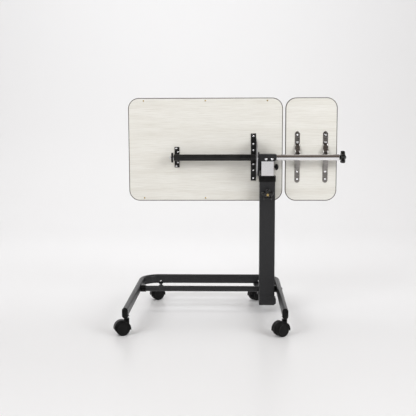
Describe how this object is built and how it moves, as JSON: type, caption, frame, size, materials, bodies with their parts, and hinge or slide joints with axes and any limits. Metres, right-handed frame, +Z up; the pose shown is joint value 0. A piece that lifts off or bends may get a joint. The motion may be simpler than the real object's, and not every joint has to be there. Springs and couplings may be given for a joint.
{
  "type": "overbed table",
  "caption": "Overbed table with a large and a small top tilting on one spindle, a sliding clamped column, and a U base of flat-oval tube on swivel casters.",
  "frame": {"origin": "on the floor, under the centre of the table's outline box at rest", "axes": "+X along the tops from the large one to the small one, +Y to the back, which the tops' upper surfaces face while they stand upright, +Z up"},
  "size_m": [0.8592, 0.5804, 0.839],
  "materials": {
    "hammered_paint": "hammered dark grey paint, satin",
    "black_paint": "black powder coat, satin",
    "black_plastic": "black moulded plastic",
    "chrome": "bright chrome plate",
    "strap_steel": "dull chrome plate",
    "zinc_steel": "zinc-plated steel",
    "brass": "plain brass",
    "laminate": "cream wood-grain laminate on particle board",
    "edge_band": "dark plastic edge band",
    "white_nylon": "natural nylon",
    "caster_body": "black nylon, satin",
    "caster_wheel": "black nylon wheel with a smooth tread"
  },
  "bodies": {
    "base": {"base_frame": "hammered_paint", "leg_end_caps": "black_plastic", "cross_bar": "hammered_paint", "bar_collars": "black_plastic", "bar_bolts": "black_paint", "column_stay": "hammered_paint", "outer_column": "hammered_paint", "column_foot": "hammered_paint", "column_collar": "black_plastic", "height_nut": "hammered_paint", "clamp_pad": "white_nylon", "caster_sockets": "black_plastic", "caster_screws": "chrome"},
    "height_knob": {"height_knob": "black_plastic", "height_knob_stud": "brass"},
    "mast": {"inner_column": "chrome", "slide_block": "black_plastic", "head_block": "hammered_paint", "head_cheek": "hammered_paint", "head_bolts": "chrome", "spindle": "zinc_steel", "spindle_collar": "chrome", "pin_housing": "hammered_paint", "end_disc": "black_paint", "end_nut": "chrome"},
    "pull_pin": {"pull_pin": "brass", "pull_pin_knob": "black_plastic", "pull_pin_spring": "zinc_steel"},
    "main_top": {"main_top": "laminate", "main_top_edge": "edge_band", "main_sleeve": "black_paint", "main_bushes": "white_nylon", "main_brackets": "black_paint", "main_bracket_screws": "chrome", "index_plate": "zinc_steel", "top_inserts": "brass"},
    "small_top": {"small_top": "laminate", "small_top_edge": "edge_band", "side_sleeve": "chrome", "side_bushes": "white_nylon", "side_straps": "strap_steel", "side_strap_screws": "chrome"},
    "side_knob": {"side_knob": "black_plastic", "side_knob_insert": "brass"},
    "caster_front_left": {"caster_stem_front_left": "zinc_steel", "caster_hood_front_left": "caster_body"},
    "wheels_front_left": {"caster_axle_front_left": "zinc_steel", "caster_wheels_front_left": "caster_wheel"},
    "caster_front_right": {"caster_stem_front_right": "zinc_steel", "caster_hood_front_right": "caster_body"},
    "wheels_front_right": {"caster_axle_front_right": "zinc_steel", "caster_wheels_front_right": "caster_wheel"},
    "caster_rear_left": {"caster_stem_rear_left": "zinc_steel", "caster_hood_rear_left": "caster_body"},
    "wheels_rear_left": {"caster_axle_rear_left": "zinc_steel", "caster_wheels_rear_left": "caster_wheel"},
    "caster_rear_right": {"caster_stem_rear_right": "zinc_steel", "caster_hood_rear_right": "caster_body"},
    "wheels_rear_right": {"caster_axle_rear_right": "zinc_steel", "caster_wheels_rear_right": "caster_wheel"}
  },
  "joints": [
    {"name": "column_lift", "type": "slide", "parent": "base", "child": "mast", "axis": [0, 0, 1], "range_m": [0, 0.28]},
    {"name": "main_top_tilt", "type": "hinge", "parent": "mast", "child": "main_top", "pos_m": [0.12811, 0.06221, 0.61], "axis": [1, 0, 0], "range_deg": [0, 90]},
    {"name": "small_top_tilt", "type": "hinge", "parent": "mast", "child": "small_top", "pos_m": [0.12811, 0.06221, 0.61], "axis": [1, 0, 0], "range_deg": [-15, 105]},
    {"name": "pull_pin_draw", "type": "slide", "parent": "mast", "child": "pull_pin", "axis": [1, 0, 0], "range_m": [-0.004, 0.006], "stiffness_N_per_m": 400, "springref_m": -0.004, "deforming": ["pull_pin_spring"]},
    {"name": "height_knob_turn", "type": "hinge", "parent": "base", "child": "height_knob", "pos_m": [0.12811, 0.00221, 0.471], "axis": [0, -1, 0], "range_deg": [0, 360]},
    {"name": "side_knob_turn", "type": "hinge", "parent": "mast", "child": "side_knob", "pos_m": [0.41311, 0.06221, 0.61], "axis": [1, 0, 0], "range_deg": [0, 360]},
    {"name": "swivel_front_left", "type": "hinge", "parent": "base", "child": "caster_front_left", "pos_m": [-0.38189, -0.24979, 0.07], "axis": [0, 0, 1], "continuous": true},
    {"name": "roll_front_left", "type": "hinge", "parent": "caster_front_left", "child": "wheels_front_left", "pos_m": [-0.39672, -0.25578, 0.025], "axis": [-0.3746, 0.9272, 0], "continuous": true},
    {"name": "swivel_front_right", "type": "hinge", "parent": "base", "child": "caster_front_right", "pos_m": [0.17711, -0.24979, 0.07], "axis": [0, 0, 1], "continuous": true},
    {"name": "roll_front_right", "type": "hinge", "parent": "caster_front_right", "child": "wheels_front_right", "pos_m": [0.16401, -0.25897, 0.025], "axis": [-0.5736, 0.8192, 0], "continuous": true},
    {"name": "swivel_rear_left", "type": "hinge", "parent": "base", "child": "caster_rear_left", "pos_m": [-0.30789, 0.26821, 0.07], "axis": [0, 0, 1], "continuous": true},
    {"name": "roll_rear_left", "type": "hinge", "parent": "caster_rear_left", "child": "wheels_rear_left", "pos_m": [-0.32201, 0.2607, 0.025], "axis": [-0.4695, 0.8829, 0], "continuous": true},
    {"name": "swivel_rear_right", "type": "hinge", "parent": "base", "child": "caster_rear_right", "pos_m": [0.10311, 0.26821, 0.07], "axis": [0, 0, 1], "continuous": true},
    {"name": "roll_rear_right", "type": "hinge", "parent": "caster_rear_right", "child": "wheels_rear_right", "pos_m": [0.09051, 0.25836, 0.025], "axis": [-0.6157, 0.788, 0], "continuous": true}
  ]
}
